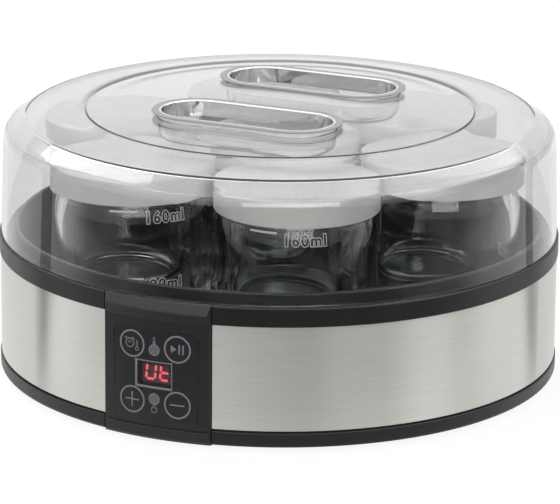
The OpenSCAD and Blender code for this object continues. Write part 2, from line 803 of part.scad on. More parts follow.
// Height of a dome that starts at point p and would reach peak on the axis
function dome(p, peak, low_r, high_r, steps = 8) =
    [for (i = [0 : steps]) let (r = high_r + (low_r - high_r) * i / steps)
        [r, peak - (peak - p[1]) * pow(r / p[0], 2)]];
lid_edge = [lid_wall_r - lid_edge_run[0], lid_wall_top + lid_edge_run[1]];
lid_crease = [lid_wall_r - lid_crease_run[0], lid_wall_top + lid_crease_run[1]];
lid_step = [lid_wall_r - lid_step_run[0], lid_wall_top + lid_step_run[1]];
step_foot = [lid_step[0] - 0.5, lid_step[1] + lid_step_h];
outer_peak = lid_top - 0.6;  // where the dome outside the step would peak

// One face of the lid from its foot to the axis; inset moves it inwards and down
function lid_face(inset) = concat(
    [[lid_foot_r - inset, lid_z], [lid_wall_r - inset, lid_wall_top]],
    [[lid_wall_r - inset - 0.5, lid_wall_top + 2.4 - inset / 2],
     [lid_edge[0] - 0.8 * inset, lid_edge[1] - 0.7 * inset]],
    dome([lid_crease[0], lid_crease[1] - inset], outer_peak - inset, lid_step[0],
        lid_crease[0] - 0.4 * inset, 5),
    dome([step_foot[0], step_foot[1] - inset], lid_top - inset, 0, step_foot[0]));

pocket_profile = concat(
    arc([opening_r - skirt_t - pocket_draft - pocket_fillet, pocket_floor + pocket_fillet],
        pocket_fillet, -90, 0),
    [[opening_r - skirt_t, collar_z - skirt_h - slip], [opening_r, collar_z - skirt_h - slip],
     [opening_r, collar_z + cut], [0, collar_z + cut], [0, pocket_floor]]);
pocket_shell_profile = concat(
    arc([opening_r - skirt_t - pocket_draft - pocket_fillet, pocket_floor + pocket_fillet],
        pocket_fillet + lid_t, -90, 0),
    [[opening_r + 1.8, collar_z - skirt_h], [trim_r - 0.2, collar_z - skirt_h + 2],
     [trim_r - 0.2, collar_z], [0, collar_z], [0, pocket_floor - lid_t]]);

module lid_shell()
    color([0.86, 0.86, 0.86, 0.4]) difference() {
        union() {
            difference() {
                rotate_extrude() polygon(concat(lid_face(0), [[0, lid_z]]));
                translate([0, 0, -seat])
                    rotate_extrude() polygon(concat(lid_face(lid_t), [[0, lid_z]]));
            }
            for (y = [-pocket_y, pocket_y])
                translate([0, y, 0]) racetrack(pocket_half, pocket_shell_profile);
        }
        for (y = [-pocket_y, pocket_y])
            translate([0, y, 0]) racetrack(pocket_half, pocket_profile);
    }

module grip_trim(y)
    color("#cfd1d4")
        translate([0, y, 0])
            racetrack(pocket_half, concat(
                [[trim_r - trim_w - skirt_t, collar_z - skirt_h],
                 [trim_r - trim_w, collar_z - skirt_h], [trim_r - trim_w, collar_z],
                 [trim_r, collar_z]],
                arc([trim_r - trim_h / 2, collar_z + trim_h / 2], trim_h / 2, 0, 90, 3),
                arc([trim_r - trim_w, collar_z + trim_h - skirt_t], skirt_t, 90, 180, 5)));
module grip_trim_front() grip_trim(-pocket_y);
module grip_trim_rear() grip_trim(pocket_y);

// ---- jars ----

bore_r = jar_r - glass_t;
mouth_r = neck_r - 2.8;
hollow_r = jar_r - 8.5;   // the shallow hollow under a jar's floor
jar_round = 4;            // rounding at a jar's foot and shoulder
module place_jar(i)
    if (i > jar_ring_count)
        children();
    else
        around(30 + (i - 1) * 360 / jar_ring_count, jar_pitch_r) children();

module jar(i)
    color([0.9, 0.94, 0.94, 0.4]) place_jar(i)
        rotate_extrude()
            polygon(concat(
                [[0, jar_z + 1], [hollow_r - 1.5, jar_z + 1], [hollow_r, jar_z],
                 [jar_r - jar_round, jar_z]],
                arc([jar_r - jar_round, jar_z + jar_round], jar_round, -90, 0, 6),
                arc([jar_r - jar_round, jar_top - 17], jar_round, 0, 50, 5),
                arc([neck_r + 1.5, jar_top - 11.8], 1.5, 230, 180, 4),
                [[neck_r, jar_top - 6.5], [neck_r + 0.7, jar_top - 5.5],
                 [neck_r + 0.7, jar_top - 4.5], [neck_r, jar_top - 3.5]],
                arc([neck_r - 0.8, jar_top - 0.8], 0.8, 0, 90, 3),
                arc([mouth_r + 0.8, jar_top - 0.8], 0.8, 90, 180, 3),
                [[mouth_r, jar_top - 12]],
                arc([bore_r - 3, jar_top - 17.5], 3, 30, 0, 3),
                arc([bore_r - 5, jar_z + jar_floor_t + 5], 5, 0, -90, 6),
                [[0, jar_z + jar_floor_t]]));

module cap(i)
    color("#eceae6") place_jar(i)
        rotate_extrude()
            polygon(concat(
                [[cap_r - cap_t, cap_z], [cap_r - 0.4, cap_z], [cap_r, cap_z + 0.4]],
                arc([cap_r - 1.6, cap_z + cap_h - 1.6], 1.6, 0, 90, 6),
                [[0, cap_z + cap_h], [0, cap_under], [cap_r - cap_t, cap_under]]));

bottom_housing();
feet();
housing_screws();
steel_band();
upper_ring();
cord_gland();
jar_tub();
heat_plate();
heating_element();
element_clips();
temperature_sensor();
thermal_fuse();
heater_leads();
sensor_lead();
power_board();
board_screws();
transformer();
relay();
capacitor();
terminal_block();
ribbon_cable();
panel_frame();
panel_screws();
panel_overlay();
display_window();
display_module();
control_board();
control_board_screws();
tact_switches();
indicator_leds();
indicator_lens_upper();
indicator_lens_lower();
button_timer();
button_start();
button_plus();
button_minus();
lid_shell();
grip_trim_front();
grip_trim_rear();
for (i = jar_names) {
    jar(i);
    cap(i);
}
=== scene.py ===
import math
import bmesh
import bpy
import numpy as np
from mathutils import Matrix, Vector


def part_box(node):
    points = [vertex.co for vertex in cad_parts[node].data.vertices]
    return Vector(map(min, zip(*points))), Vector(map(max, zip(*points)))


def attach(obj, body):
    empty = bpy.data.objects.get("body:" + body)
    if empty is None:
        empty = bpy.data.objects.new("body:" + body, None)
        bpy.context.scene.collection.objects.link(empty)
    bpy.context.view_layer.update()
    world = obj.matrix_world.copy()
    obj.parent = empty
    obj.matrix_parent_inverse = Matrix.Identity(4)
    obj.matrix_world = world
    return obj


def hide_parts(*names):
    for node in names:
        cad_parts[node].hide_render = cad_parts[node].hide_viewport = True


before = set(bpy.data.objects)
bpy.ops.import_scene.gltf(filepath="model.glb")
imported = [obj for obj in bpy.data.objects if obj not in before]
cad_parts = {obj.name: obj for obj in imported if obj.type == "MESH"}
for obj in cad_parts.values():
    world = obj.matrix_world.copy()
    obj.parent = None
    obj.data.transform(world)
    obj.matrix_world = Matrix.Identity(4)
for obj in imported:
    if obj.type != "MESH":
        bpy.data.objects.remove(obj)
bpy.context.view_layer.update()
mm = 0.001
print("frame loaded")


class Value:
    # wraps a socket; arithmetic on it adds nodes
    def __init__(self, finish, socket):
        self.finish = finish
        self.socket = socket

    def maths(self, operation, *others):
        inputs = dict(enumerate((self,) + others))
        node = self.finish.node("ShaderNodeMath", {"operation": operation}, inputs)
        return Value(self.finish, node.outputs[0])

    def reflected(self, operation, other):
        node = self.finish.node("ShaderNodeMath", {"operation": operation}, {0: other, 1: self})
        return Value(self.finish, node.outputs[0])

    def __add__(self, other):
        return self.maths("ADD", other)

    def __radd__(self, other):
        return self.reflected("ADD", other)

    def __sub__(self, other):
        return self.maths("SUBTRACT", other)

    def __rsub__(self, other):
        return self.reflected("SUBTRACT", other)

    def __mul__(self, other):
        return self.maths("MULTIPLY", other)

    def __rmul__(self, other):
        return self.reflected("MULTIPLY", other)

    def __truediv__(self, other):
        return self.maths("DIVIDE", other)

    def __pow__(self, other):
        return self.maths("POWER", other)

    def step(self, low, high):  # 0 below low, 1 above high, smooth between
        node = self.finish.node("ShaderNodeMapRange", {"interpolation_type": "SMOOTHSTEP"},
                                {"Value": self, "From Min": low, "From Max": high})
        return Value(self.finish, node.outputs["Result"])


class Finish:
    # one procedural material; constants go straight onto the Principled sockets
    def __init__(self, name, **constants):
        self.material = bpy.data.materials.new(name)
        self.material.use_nodes = True
        self.tree = self.material.node_tree
        self.tree.nodes.clear()
        self.output = self.node("ShaderNodeOutputMaterial")
        self.shader = self.node("ShaderNodeBsdfPrincipled")
        for socketName, value in constants.items():
            self.shader.inputs[socketName.replace("_", " ")].default_value = value
        self.surface(self.shader.outputs[0])
        self.place = self.node("ShaderNodeTexCoord").outputs["Object"]

    @classmethod
    def bare(cls, tree):  # the same node methods for a tree that has no Principled shader
        finish = cls.__new__(cls)
        finish.tree = tree
        tree.nodes.clear()
        return finish

    def node(self, kind, settings=None, inputs=None):
        made = self.tree.nodes.new(kind)
        for setting, value in (settings or {}).items():
            setattr(made, setting, value)
        for key, value in (inputs or {}).items():
            source = value.socket if isinstance(value, Value) else value
            if isinstance(source, bpy.types.NodeSocket):
                self.tree.links.new(source, made.inputs[key])
            else:
                made.inputs[key].default_value = source
        return made

    def surface(self, socket):
        self.tree.links.new(socket, self.output.inputs["Surface"])

    def feed(self, socketName, value):
        source = value.socket if isinstance(value, Value) else value
        self.tree.links.new(source, self.shader.inputs[socketName])

    def noise(self, scale, detail=2.0, stretch=(1, 1, 1)):
        spot = self.node("ShaderNodeMapping", {}, {"Vector": self.place, "Scale": stretch})
        grain = self.node("ShaderNodeTexNoise", {},
                          {"Vector": spot.outputs[0], "Scale": scale, "Detail": detail})
        return Value(self, grain.outputs["Fac"])

    def axes(self):
        split = self.node("ShaderNodeSeparateXYZ", {}, {0: self.place})
        return [Value(self, out) for out in split.outputs]

    def tint(self, mask, colourA, colourB):
        mixed = self.node("ShaderNodeMix", {"data_type": "RGBA"},
                          {"Factor": mask, 6: colourA, 7: colourB})
        return mixed.outputs[2]

    def relief(self, height, strength, depth):
        bump = self.node("ShaderNodeBump", {},
                         {"Height": height, "Strength": strength, "Distance": depth})
        self.feed("Normal", bump.outputs[0])


def ink(red, green, blue, alpha=1.0):
    # a colour given as it shows on screen, 0 to 255, turned into the linear values nodes use
    shown = np.array([red, green, blue]) / 255
    linear = np.where(shown <= 0.04045, shown / 12.92, ((shown + 0.055) / 1.055) ** 2.4)
    return tuple(float(v) for v in linear) + (alpha,)


def moulded(name, darker, lighter, rough, grain, depth, **constants):
    # plastic, rubber or metal with a fine grain: tone, roughness and relief follow one noise
    finish = Finish(name, **constants)
    fine = finish.noise(1 / grain, 3.0)
    broad = finish.noise(1 / (40 * grain), 2.0)
    mix = (fine * 0.6 + broad * 0.4).step(0.3, 0.7)
    finish.feed("Base Color", finish.tint(mix, darker, lighter))
    finish.feed("Roughness", rough[0] + mix * (rough[1] - rough[0]))
    finish.relief(fine, 0.35, depth)
    return finish.material


blackPlastic = moulded("blackPlastic", ink(9, 10, 11), ink(14, 15, 16), (0.34, 0.46),
                       0.25 * mm, 0.02 * mm, IOR=1.5)
panelBlack = moulded("panelBlack", ink(18, 19, 20), ink(23, 24, 25), (0.3, 0.38),
                     0.3 * mm, 0.01 * mm, IOR=1.5)
overlayBlack = moulded("overlayBlack", ink(19, 20, 22), ink(23, 24, 26), (0.2, 0.26),
                       0.6 * mm, 0.004 * mm, IOR=1.5)
tubBlack = moulded("tubBlack", ink(15, 16, 17), ink(20, 21, 22), (0.36, 0.48),
                   0.4 * mm, 0.015 * mm, IOR=1.5)
footRubber = moulded("footRubber", ink(24, 24, 24), ink(34, 34, 33), (0.7, 0.85),
                     0.2 * mm, 0.04 * mm, IOR=1.5)
capWhite = moulded("capWhite", ink(242, 240, 237), ink(247, 245, 242), (0.24, 0.32),
                   0.5 * mm, 0.004 * mm, IOR=1.49)
zincSteel = moulded("zincSteel", ink(135, 137, 140), ink(172, 174, 176), (0.25, 0.4),
                    0.3 * mm, 0.01 * mm, Metallic=1.0)
plateAluminium = moulded("plateAluminium", ink(176, 178, 180), ink(206, 208, 210), (0.3, 0.45),
                         0.5 * mm, 0.01 * mm, Metallic=1.0)
siliconeRed = moulded("siliconeRed", ink(150, 58, 44), ink(176, 76, 58), (0.5, 0.65),
                      0.4 * mm, 0.02 * mm)
sleeveCloth = moulded("sleeveCloth", ink(176, 170, 152), ink(206, 200, 184), (0.6, 0.8),
                      0.15 * mm, 0.06 * mm)
partDark = moulded("partDark", ink(34, 36, 41), ink(50, 53, 58), (0.4, 0.55), 0.3 * mm, 0.02 * mm)
partBlue = moulded("partBlue", ink(36, 66, 118), ink(50, 84, 140), (0.35, 0.5),
                   0.3 * mm, 0.01 * mm)
partPale = moulded("partPale", ink(196, 190, 172), ink(220, 215, 200), (0.4, 0.55),
                   0.3 * mm, 0.01 * mm)
printGrey = moulded("printGrey", ink(84, 85, 88), ink(94, 95, 98), (0.4, 0.5),
                    0.3 * mm, 0.002 * mm)
lensGrey = moulded("lensGrey", ink(66, 67, 70), ink(78, 79, 82), (0.25, 0.32),
                   0.4 * mm, 0.004 * mm)
rimGrey = moulded("rimGrey", ink(118, 119, 120), ink(130, 131, 132), (0.25, 0.32),
                  0.4 * mm, 0.004 * mm, IOR=1.49)
seamBlack = moulded("seamBlack", ink(8, 8, 9), ink(13, 13, 14), (0.5, 0.6), 0.3 * mm, 0.002 * mm)
moduleGrey = moulded("moduleGrey", ink(104, 99, 101), ink(112, 107, 109), (0.45, 0.55),
                     0.4 * mm, 0.004 * mm)


def boardFinish():
    # solder mask with square-cornered tracks a little lighter than the ground between them
    finish = Finish("circuitBoard", Roughness=0.35)
    cells = finish.node("ShaderNodeTexVoronoi", {"distance": "CHEBYCHEV"},
                        {"Vector": finish.place, "Scale": 1 / (4 * mm)})
    tracks = Value(finish, cells.outputs["Distance"]).maths("PINGPONG", 0.16).step(0.05, 0.09)
    finish.feed("Base Color", finish.tint(tracks, ink(34, 96, 58), ink(52, 128, 78)))
    finish.relief(tracks, 0.3, 0.03 * mm)
    return finish.material


def brushedFinish():
    # stainless sheet brushed round the body: noise drawn out sideways and tight in height
    finish = Finish("brushedSteel", Metallic=1.0, Anisotropic=1.0, Anisotropic_Rotation=0.25)
    hair = finish.noise(1.0, 3.0, (90, 90, 5200))
    strand = finish.noise(1.0, 2.0, (30, 30, 1500))
    cloud = finish.noise(14.0, 1.0)
    streak = (hair * 0.55 + strand * 0.45).step(0.25, 0.75)
    finish.feed("Base Color", finish.tint(streak, ink(216, 214, 208), ink(228, 226, 221)))
    finish.feed("Roughness", 0.32 + streak * 0.06 + cloud * 0.03)
    finish.relief(hair * 0.6 + strand * 0.4, 0.12, 0.02 * mm)
    return finish.material


def chromeFinish():
    # polished plating with faint wipe marks
    finish = Finish("polishedChrome", Metallic=1.0)
    wipe = finish.noise(60.0, 3.0, (1, 3, 1))
    finish.feed("Base Color", finish.tint(wipe, ink(214, 214, 218), ink(226, 226, 229)))
    finish.feed("Roughness", 0.04 + wipe * 0.06)
    finish.relief(finish.noise(400.0, 1.0), 0.05, 0.01 * mm)
    return finish.material


def clearFinish(name, colour, rough, index, wave):
    # clear material that refracts; lamps shine through it, so what it covers is lit
    finish = Finish(name, Transmission_Weight=1.0, IOR=index)
    cloud = finish.noise(25.0, 2.0)
    paler = tuple(min(1.0, c * 1.02) for c in colour[:3]) + (1.0,)
    finish.feed("Base Color", finish.tint(cloud, colour, paler))
    finish.feed("Roughness", rough + cloud * 0.01)
    finish.relief(finish.noise(30.0, 1.0), 0.1, wave)
    lets = finish.node("ShaderNodeBsdfTransparent", {}, {"Color": (0.97, 0.97, 0.97, 1)})
    shadow = finish.node("ShaderNodeLightPath").outputs["Is Shadow Ray"]
    mixed = finish.node("ShaderNodeMixShader", {},
                        {0: shadow, 1: finish.shader.outputs[0], 2: lets.outputs[0]})
    finish.surface(mixed.outputs[0])
    return finish.material


def litFinish(name, lit, dim, strength):
    # a display segment, or a part given a painted glow: its plastic colour with an even glow
    finish = Finish(name, Roughness=0.4)
    grain = finish.noise(1 / (0.4 * mm), 1.0)
    finish.feed("Base Color", finish.tint(grain, dim, lit))
    finish.feed("Emission Color", finish.tint(grain, lit, lit))
    finish.shader.inputs["Emission Strength"].default_value = strength
    return finish.material


# the pale sleeve behind the chrome gets a painted glow, painted light that lifts it out of the
# shade under the flange
backingPaintedGlow = litFinish("backingPaintedGlow", ink(218, 216, 215), ink(226, 224, 223), 0.56)
circuitBoard = boardFinish()
brushedSteel = brushedFinish()
polishedChrome = chromeFinish()
lidClear = clearFinish("lidClear", ink(240, 240, 240), 0.0, 1.49, 0.002 * mm)
jarGlass = clearFinish("jarGlass", ink(246, 248, 247), 0.0, 1.5, 0.001 * mm)
smokedWindow = clearFinish("smokedWindow", ink(206, 200, 201), 0.02, 1.3, 0.0)
markFrost = moulded("markFrost", ink(246, 247, 247), ink(252, 252, 252), (0.3, 0.4),
                    0.3 * mm, 0.01 * mm)
ledLit = litFinish("ledLit", ink(255, 96, 104), ink(240, 60, 70), 1.5)
ledDim = litFinish("ledDim", ink(124, 104, 107), ink(118, 98, 101), 0.0)
print("finishes made")


def newPiece(name, mesh, finish, body):
    piece = bpy.data.objects.new(name, mesh)
    bpy.context.scene.collection.objects.link(piece)
    mesh.materials.clear()
    mesh.materials.append(finish)
    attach(piece, body)
    return piece


def gridMesh(name, grids, around=False, crease=32, solid=True):
    # each grid is rows x columns of points; quads join a point to the next row and column,
    # and with around the last row joins the first
    points, faces, start = [], [], 0
    for grid in grids:
        rows, columns = grid.shape[:2]
        index = start + np.arange(rows * columns).reshape(rows, columns)
        after = np.roll(index, -1, 0) if around else index[1:]
        before = index if around else index[:-1]
        faces.append(np.stack([before[:, :-1], before[:, 1:], after[:, 1:], after[:, :-1]], -1)
                     .reshape(-1, 4))
        points.append(grid.reshape(-1, 3))
        start += rows * columns
    mesh = bpy.data.meshes.new(name)
    mesh.from_pydata(np.concatenate(points).tolist(), [], np.concatenate(faces).tolist())
    finishMesh(mesh, crease, solid)
    return mesh


def finishMesh(mesh, crease=32, solid=True):
    work = bmesh.new()
    work.from_mesh(mesh)
    bmesh.ops.remove_doubles(work, verts=work.verts, dist=1e-6)
    if solid:
        rims = [edge for edge in work.edges if edge.is_boundary]
        if rims:
            bmesh.ops.holes_fill(work, edges=rims, sides=0)
        bmesh.ops.recalc_face_normals(work, faces=work.faces)
    work.to_mesh(mesh)
    work.free()
    mesh.shade_smooth()
    mesh.set_sharp_from_angle(angle=math.radians(crease))


def rounded(corners, steps=5, hold=0.3):
    # corners are (across, up, radius); each is replaced by a curve that leaves its two sides
    # at the radius's distance and is drawn towards the corner: (1-s)^2 A + 2s(1-s) P + s^2 B;
    # a point just beyond each end of the curve holds the straight stretches flat
    line = np.array(corners, float)
    curve = []
    s = np.linspace(0, 1, steps + 1)[:, None]
    for i, (across, up, radius) in enumerate(line):
        corner = np.array([across, up])
        if radius == 0 or i in (0, len(line) - 1):
            curve.append(corner[None])
            continue
        ends = []
        for other in (i - 1, i + 1):
            side = line[other, :2] - corner
            length = np.linalg.norm(side)
            room = length - radius - line[other, 2] > 4 * hold
            ends.append((corner + side / length * radius,
                         corner + side / length * (radius + hold), room))
        (start, before, roomBefore), (end, after, roomAfter) = ends
        if roomBefore:
            curve.append(before[None])
        curve.append((1 - s) ** 2 * start + 2 * s * (1 - s) * corner + s ** 2 * end)
        if roomAfter:
            curve.append(after[None])
    return np.concatenate(curve)


def lathe(profile, centre=(0, 0), steps=160, turn=None):
    # a profile of (radius, height) turned about a vertical axis; angle 0 faces -Y
    whole = turn is None
    low, high = (0, 360) if whole else turn
    angle = np.radians(np.linspace(low, high, steps + 1)[: steps if whole else steps + 1])
    radius, height = profile[:, 0][None], profile[:, 1][None]
    x = centre[0] + np.sin(angle)[:, None] * radius
    y = centre[1] - np.cos(angle)[:, None] * radius
    return np.stack([x, y, np.broadcast_to(height, x.shape)], -1)


def racetrack(profile, half, centreY, steps=20):
    # a profile of (distance from the spine, height) carried round a straight spine along x
    turn = np.radians(np.concatenate([np.linspace(-90, 90, steps), np.linspace(90, 270, steps)]))
    spine = np.repeat([half, -half], steps)
    x = spine[:, None] + np.cos(turn)[:, None] * profile[:, 0]
    y = centreY + np.sin(turn)[:, None] * profile[:, 0]
    return np.stack([x, y, np.broadcast_to(profile[:, 1], x.shape)], -1)


def loop(profile):
    return np.concatenate([profile, profile[:1]])


view = {
    "panelTurn": 23.8,                      # degrees from the panel's centre to the camera
    "place": (18.58, -1632.2, 530.3),       # mm, before that turn
    "aim": (0.5, 0.0, 51.7),
    "roll": 0.51,
    "lens": 243.6,
}


def placeCamera():
    turn = Matrix.Rotation(math.radians(view["panelTurn"]), 3, "Z")
    place, aim = (turn @ Vector(view[key]) * mm for key in ("place", "aim"))
    camera = bpy.data.objects.new("camera", bpy.data.cameras.new("camera"))
    bpy.context.scene.collection.objects.link(camera)
    look = (aim - place).to_track_quat("-Z", "Y").to_matrix()
    roll = Matrix.Rotation(math.radians(view["roll"]), 3, "Z")
    camera.matrix_world = Matrix.Translation(place) @ (look @ roll).to_4x4()
    camera.data.lens = view["lens"]
    camera.data.clip_start = 0.05
    bpy.context.scene.camera = camera


def softbox(name, place, aim, size, power, mirrored):
    # place and aim are metres right of, beyond and above the object's centre, for the camera
    turn = Matrix.Rotation(math.radians(view["panelTurn"]), 3, "Z")
    place, aim = turn @ Vector(place), turn @ Vector(aim)
    lamp = bpy.data.lights.new(name, "AREA")
    lamp.shape = "RECTANGLE"
    lamp.size, lamp.size_y = size
    lamp.energy = power
    box = bpy.data.objects.new(name, lamp)
    box.visible_glossy = mirrored
    bpy.context.scene.collection.objects.link(box)
    facing = (aim - place).to_track_quat("-Z", "Y").to_matrix()
    box.matrix_world = Matrix.Translation(place) @ facing.to_4x4()


studio = {
    "worldLight": 0.72,      # strength that lights the object
    "floorShade": 0.1,       # share of the floor's own shading that shows
    "boxes": {
        "backLight": ((-0.86, 1.06, 1.5), (0, 0, 0.08), (1.2, 1.1), 20, False),
        "keyLight": ((-1.1, -1.2, 1.5), (0, 0, 0.05), (1.8, 1.6), 13, False),
        "sideLight": ((1.4, -0.9, 1.2), (0, 0, 0.05), (1.0, 1.0), 8, False),
        "frontLight": ((0.2, -2.1, 0.7), (0, 0, 0.08), (1.5, 0.8), 24, False),
    },
    # brightness that polished surfaces see round the room, by degrees to the camera's right
    "room": [(-180, 1.0), (-129, 0.75), (-123, 0.6), (-118, 0.6), (-112, 1.2), (-80, 1.04),
             (-50, 1.08), (-30, 1.4), (-17, 1.14), (16, 0.78), (24, 1.05), (36, 0.95), (46, 0.66),
             (60, 1.28), (70, 1.2), (79, 0.42), (96, 0.5), (108, 0.74), (121, 1.15), (127, 0.5),
             (133, 0.5), (145, 0.52), (180, 1.0)],
    # brightness they see overhead: the middle, and what the left and the right add to it
    "overhead": (1.75, -0.1, 0.65),
    # brightness they see of the floor: share, then two fades, each an amount and the two
    # distances towards the camera that it happens between
    "mirrorFloor": (0.95, (0.62, 0.05, 0.18), (0.3, 0.2, 0.34)),
    # dark cards that only reflections show: right, beyond, turn in degrees, width and height
    "flags": {
        "leftFlag": (-0.191, -0.041, -30, 0.018, 0.5),
        "rightFlag": (0.191, 0, 37, 0.015, 0.5),
    },
}


def buildStudio():
    world = bpy.data.worlds.new("studio")
    world.use_nodes = True
    sky = Finish.bare(world.node_tree)
    path = sky.node("ShaderNodeLightPath").outputs
    direction = sky.node("ShaderNodeTexCoord").outputs["Generated"]
    split = sky.node("ShaderNodeSeparateXYZ", {}, {0: direction})
    x, y = Value(sky, split.outputs[0]), Value(sky, split.outputs[1])
    turn = math.radians(view["panelTurn"])
    right = x * math.cos(turn) + y * math.sin(turn)
    toward = x * math.sin(turn) - y * math.cos(turn)
    around = right.maths("ARCTAN2", toward) / (2 * math.pi) + 0.5    # 0.5 is the camera's side
    ramp = sky.node("ShaderNodeValToRGB", {}, {"Fac": around})
    stops = ramp.color_ramp.elements
    for angle, shade in studio["room"][1:-1]:
        stops.new(angle / 360 + 0.5)
    for stop, (angle, shade) in zip(stops, studio["room"]):
        stop.position = angle / 360 + 0.5
        stop.color = (shade / 2, shade / 2, shade / 2, 1)
    room = Value(sky, ramp.outputs[0]) * 2
    up = Value(sky, split.outputs[2]).step(0.4, 0.55) * (1 - toward.step(0.25, 0.7))
    middle, leftMore, rightMore = studio["overhead"]
    glow = middle + leftMore * (1 - right.step(-0.4, -0.1)) + rightMore * right.step(0.1, 0.4)
    room = room * (1 - up) + glow * up
    glossy = Value(sky, path["Is Glossy Ray"])
    seen = Value(sky, path["Is Camera Ray"]).maths("MAXIMUM", path["Is Transmission Ray"])
    plain = studio["worldLight"] + seen * (1 - studio["worldLight"])
    strength = plain * (1 - glossy) + room * glossy
    light = sky.node("ShaderNodeBackground", {}, {"Color": (1, 1, 1, 1), "Strength": strength})
    sky.node("ShaderNodeOutputWorld", {}, {"Surface": light.outputs[0]})
    bpy.context.scene.world = world
    for name, settings in studio["boxes"].items():
        softbox(name, *settings)


def buildFlags():
    finish = moulded("flagBlack", ink(10, 10, 10), ink(14, 14, 14), (0.9, 1.0), 4 * mm, 0.1 * mm)
    turn = Matrix.Rotation(math.radians(view["panelTurn"]), 3, "Z")
    for name, (right, beyond, facing, width, height) in studio["flags"].items():
        along = turn @ Matrix.Rotation(math.radians(facing), 3, "Z") @ Vector((0, width / 2, 0))
        centre = turn @ Vector((right, beyond, 0))
        ends = [np.array(centre + side * along) for side in (-1, 1)]
        card = np.array([[end + [0, 0, z] for z in (0.001, height)] for end in ends])
        mesh = gridMesh(name, [card], solid=False)
        mesh.materials.append(finish)
        flag = bpy.data.objects.new(name, mesh)
        bpy.context.scene.collection.objects.link(flag)
        flag.visible_camera = flag.visible_diffuse = flag.visible_shadow = False
        flag.visible_transmission = False


def buildFloor():
    reach = 3.0
    side = np.linspace(-reach, reach, 3)
    x, y = np.meshgrid(side, side, indexing="ij")
    mesh = gridMesh("floor", [np.stack([y, x, np.zeros_like(x)], -1)], solid=False)
    floor = bpy.data.objects.new("floor", mesh)
    bpy.context.scene.collection.objects.link(floor)
    finish = Finish("floorPale", Roughness=0.9)
    cloud = finish.noise(2.0, 1.0)
    finish.feed("Base Color", finish.tint(cloud, ink(244, 244, 244), ink(247, 247, 247)))
    path = finish.node("ShaderNodeLightPath").outputs
    glossy = Value(finish, path["Is Glossy Ray"])
    x, y, _ = finish.axes()
    turn = math.radians(view["panelTurn"])
    toward = x * math.sin(turn) - y * math.cos(turn)
    start, near, far = studio["mirrorFloor"]
    mirrored = start - near[0] * toward.step(*near[1:]) - far[0] * toward.step(*far[1:])
    strength = (1 - glossy) + mirrored * glossy
    glow = finish.node("ShaderNodeEmission", {}, {"Color": (1, 1, 1, 1), "Strength": strength})
    seen = Value(finish, path["Is Camera Ray"]).maths("MAXIMUM", path["Is Transmission Ray"])
    share = (seen * (1 - studio["floorShade"])).maths("MAXIMUM", glossy)
    mixed = finish.node("ShaderNodeMixShader", {},
                        {0: share, 1: finish.shader.outputs[0], 2: glow.outputs[0]})
    finish.surface(mixed.outputs[0])
    mesh.materials.append(finish.material)


placeCamera()
buildStudio()
buildFloor()
buildFlags()
scene = bpy.context.scene
scene.view_settings.view_transform = "Standard"
scene.cycles.max_bounces = 32
scene.cycles.transmission_bounces = 32
scene.cycles.transparent_max_bounces = 32
scene.cycles.caustics_refractive = False
print("studio ready")


lidLow, lidHigh = (np.array(corner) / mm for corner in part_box("lid_shell"))
lid = {
    "wallTop": (122.7, 107.0),     # radius and height, mm
    "edge": (120.5, 111.5),
    "crease": (113.2, 116.1),
    "stepOut": (86.5, 118.2),
    "stepIn": (86.0, 118.6),
    "peak": 122.5,
    "outerPeak": 121.9,
    "wall": 2.0,
    "pocketHalf": 23.5,
    "pocketY": 35.0,
    "opening": 17.05,
    "pocketFloor": 109.8,
    "seatDepth": 6.6,
    "ledge": 1.05,                 # how far the cavity draws in below the trim
    "cavityFoot": (2.05, 3.4),     # inset and rounding at the cavity's floor
    "cupFoot": (0.2, 5.2),         # the same for the cup's outside
    "cupSpread": 1.5,              # how far the cup's top reaches past the opening
}


def lidFace(inset):
    # one face of the lid from the axis out: dome, step, outer dome, bevelled shoulder, wall
    inner = np.linspace(0, lid["stepIn"][0], 14)[:-1]
    stepInZ, peak = lid["stepIn"][1] - inset, lid["peak"] - inset
    dome = np.stack([inner, peak - (peak - stepInZ) * (inner / lid["stepIn"][0]) ** 2], -1)
    outer = np.linspace(lid["stepOut"][0], lid["crease"][0] - 0.4 * inset, 7)[1:-1]
    creaseZ, outerPeak = lid["crease"][1] - inset, lid["outerPeak"] - inset
    fall = (outerPeak - creaseZ) * (outer / lid["crease"][0]) ** 2
    ring = np.stack([outer, outerPeak - fall], -1)
    foot = (lid["stepOut"][0], lid["stepOut"][1] - inset)
    if inset:    # the underside runs through without the step
        between = ((lid["stepIn"][0] + foot[0]) / 2, (stepInZ + foot[1]) / 2)
        step = np.array([dome[-1], between, ring[0]])
    else:
        step = rounded([(dome[-1, 0], dome[-1, 1], 0), (lid["stepIn"][0], stepInZ, 0.25),
                        foot + (0.3,), (ring[0, 0], ring[0, 1], 0)], 3)
    side = rounded([(ring[-1, 0], ring[-1, 1], 0),
                    (lid["crease"][0] - 0.4 * inset, creaseZ, 0.5),
                    (lid["edge"][0] - 0.8 * inset, lid["edge"][1] - 0.7 * inset, 1.3),
                    (lid["wallTop"][0] - inset, lid["wallTop"][1] - 0.3 * inset + 1.2, 2.2),
                    (lidHigh[0] - inset, lidLow[2], 0)], 5)
    return np.concatenate([dome[:-1], step, ring[1:-1], side])


def solidPiece(name, grids, around=True):
    mesh = gridMesh(name, grids, around)
    tool = bpy.data.objects.new(name, mesh)
    bpy.context.scene.collection.objects.link(tool)
    return tool


def carve(base, steps):
    # joins or cuts closed solids one after another and leaves one plain mesh
    for kind, tool in steps:
        modifier = base.modifiers.new(kind, "BOOLEAN")
        modifier.operation, modifier.object, modifier.solver = kind, tool, "EXACT"
    ready = base.evaluated_get(bpy.context.evaluated_depsgraph_get())
    mesh = bpy.data.meshes.new_from_object(ready)
    for used in [base] + [tool for _, tool in steps]:
        bpy.data.objects.remove(used)
    return mesh


